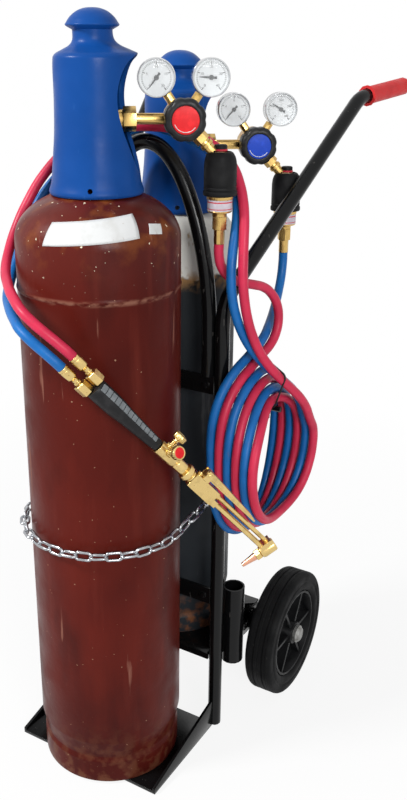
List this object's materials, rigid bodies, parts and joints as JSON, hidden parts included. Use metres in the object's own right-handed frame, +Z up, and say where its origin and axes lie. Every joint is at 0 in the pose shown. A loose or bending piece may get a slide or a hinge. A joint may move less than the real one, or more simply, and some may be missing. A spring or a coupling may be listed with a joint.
{
  "type": "gas welding cart",
  "caption": "Tube-framed welding cart on rubber wheels carrying a fuel bottle and an oxygen bottle with guard caps, regulators, twin hoses coiled at the side and a cutting torch.",
  "frame": {"origin": "middle of the floor tray's underside, on the floor", "axes": "+X to the cart's right, +Y to the rear where the wheels and handles are, +Z up"},
  "size_m": [0.4474, 0.6698, 1.0267],
  "materials": {
    "black_paint": "semi-gloss black paint",
    "grip_rubber": "satin red rubber",
    "tyre_rubber": "worn black rubber",
    "black_plastic": "satin black plastic",
    "boot_rubber": "matt black rubber",
    "zinc_steel": "zinc plated",
    "fuel_bottle_paint": "worn gloss brown-red paint",
    "oxygen_bottle_paint": "worn grey paint with a white shoulder",
    "cap_blue": "gloss blue",
    "brass": "machined brass",
    "gauge": "white dial in a bright case",
    "hose_red": "satin red hose",
    "hose_blue": "satin blue hose",
    "copper": "heat-tinted copper"
  },
  "bodies": {
    "cart": {"tray": "black_paint", "upright_right": "black_paint", "upright_left": "black_paint", "grip_right": "grip_rubber", "grip_left": "grip_rubber", "arch_tube": "black_paint", "upper_crossbar": "black_paint", "lower_crossbar": "black_paint", "rear_shelf": "black_paint", "rod_holder": "black_paint", "axle": "zinc_steel", "axle_cap_right": "zinc_steel", "axle_cap_left": "zinc_steel", "hose_hook": "black_paint", "chain": "zinc_steel", "front_bottle": "fuel_bottle_paint", "front_valve": "brass", "front_cap": "cap_blue", "front_regulator": "brass", "front_gauge_outlet": "gauge", "front_gauge_bottle": "gauge", "front_arrestor": "brass", "front_arrestor_boot": "boot_rubber", "front_hose_tail": "brass", "rear_bottle": "oxygen_bottle_paint", "rear_valve": "brass", "rear_cap": "cap_blue", "rear_regulator": "brass", "rear_gauge_outlet": "gauge", "rear_gauge_bottle": "gauge", "rear_arrestor": "brass", "rear_arrestor_boot": "boot_rubber", "rear_hose_tail": "brass", "red_hose_feed": "hose_red", "red_hose_coil": "hose_red", "red_hose_lead": "hose_red", "torch_red_tail": "brass", "blue_hose_feed": "hose_blue", "blue_hose_coil": "hose_blue", "blue_hose_lead": "hose_blue", "torch_blue_tail": "brass", "torch_handle": "black_plastic", "torch_valve_block": "brass", "cutting_attachment": "brass", "cutting_nozzle": "copper"},
    "wheel_right": {"tyre_right": "tyre_rubber", "hub_right": "black_plastic"},
    "wheel_left": {"tyre_left": "tyre_rubber", "hub_left": "black_plastic"},
    "front_regulator_screw": {"front_regulator_knob": "black_plastic"},
    "front_valve_wheel": {"front_handwheel": "black_plastic"},
    "front_outlet_pointer": {"front_gauge_outlet_needle": "black_plastic"},
    "front_bottle_pointer": {"front_gauge_bottle_needle": "black_plastic"},
    "rear_regulator_screw": {"rear_regulator_knob": "black_plastic"},
    "rear_valve_wheel": {"rear_handwheel": "black_plastic"},
    "rear_outlet_pointer": {"rear_gauge_outlet_needle": "black_plastic"},
    "rear_bottle_pointer": {"rear_gauge_bottle_needle": "black_plastic"},
    "oxygen_spindle": {"torch_oxygen_knob": "brass"},
    "fuel_spindle": {"torch_fuel_knob": "brass"},
    "lever": {"cutting_lever": "brass"}
  },
  "joints": [
    {"name": "wheel_right_spin", "type": "hinge", "parent": "cart", "child": "wheel_right", "pos_m": [0.164, 0.2378, 0.1], "axis": [1, 0, 0], "continuous": true},
    {"name": "wheel_left_spin", "type": "hinge", "parent": "cart", "child": "wheel_left", "pos_m": [-0.164, 0.2378, 0.1], "axis": [1, 0, 0], "continuous": true},
    {"name": "front_regulator_knob_turn", "type": "hinge", "parent": "cart", "child": "front_regulator_screw", "pos_m": [0.08279, 0.04614, 0.90574], "axis": [-0.6052, 0.7961, 0], "range_deg": [0, 720]},
    {"name": "front_handwheel_turn", "type": "hinge", "parent": "cart", "child": "front_valve_wheel", "pos_m": [0, -0.0168, 0.93574], "axis": [0, 0, 1], "range_deg": [0, 540]},
    {"name": "front_outlet_needle_sweep", "type": "hinge", "parent": "cart", "child": "front_outlet_pointer", "pos_m": [0.05732, 0.02677, 0.95174], "axis": [-0.6052, 0.7961, 0], "range_deg": [0, 280], "stiffness_Nm_per_rad": 0.0002},
    {"name": "front_bottle_needle_sweep", "type": "hinge", "parent": "cart", "child": "front_bottle_pointer", "pos_m": [0.10827, 0.0655, 0.95174], "axis": [-0.6052, 0.7961, 0], "range_deg": [-50, 230], "stiffness_Nm_per_rad": 0.0002},
    {"name": "rear_regulator_knob_turn", "type": "hinge", "parent": "cart", "child": "rear_regulator_screw", "pos_m": [0.08279, 0.23874, 0.8602], "axis": [-0.6052, 0.7961, 0], "range_deg": [0, 720]},
    {"name": "rear_handwheel_turn", "type": "hinge", "parent": "cart", "child": "rear_valve_wheel", "pos_m": [0, 0.1758, 0.8902], "axis": [0, 0, 1], "range_deg": [0, 540]},
    {"name": "rear_outlet_needle_sweep", "type": "hinge", "parent": "cart", "child": "rear_outlet_pointer", "pos_m": [0.05732, 0.21937, 0.9062], "axis": [-0.6052, 0.7961, 0], "range_deg": [0, 280], "stiffness_Nm_per_rad": 0.0002},
    {"name": "rear_bottle_needle_sweep", "type": "hinge", "parent": "cart", "child": "rear_bottle_pointer", "pos_m": [0.10827, 0.2581, 0.9062], "axis": [-0.6052, 0.7961, 0], "range_deg": [-80, 200], "stiffness_Nm_per_rad": 0.0002},
    {"name": "torch_oxygen_knob_turn", "type": "hinge", "parent": "cart", "child": "oxygen_spindle", "pos_m": [0.13386, -0.05614, 0.53652], "axis": [0.525, 0.5177, 0.6756], "range_deg": [0, 720]},
    {"name": "torch_fuel_knob_turn", "type": "hinge", "parent": "cart", "child": "fuel_spindle", "pos_m": [0.14053, -0.06883, 0.52959], "axis": [0.8722, -0.3437, 0.348], "range_deg": [0, 720]},
    {"name": "cutting_lever_press", "type": "hinge", "parent": "cart", "child": "lever", "pos_m": [0.16532, -0.02512, 0.48979], "axis": [-0.7022, 0.712, 0], "range_deg": [0, 2.8], "stiffness_Nm_per_rad": 0.6, "springref_deg": -8.59}
  ]
}
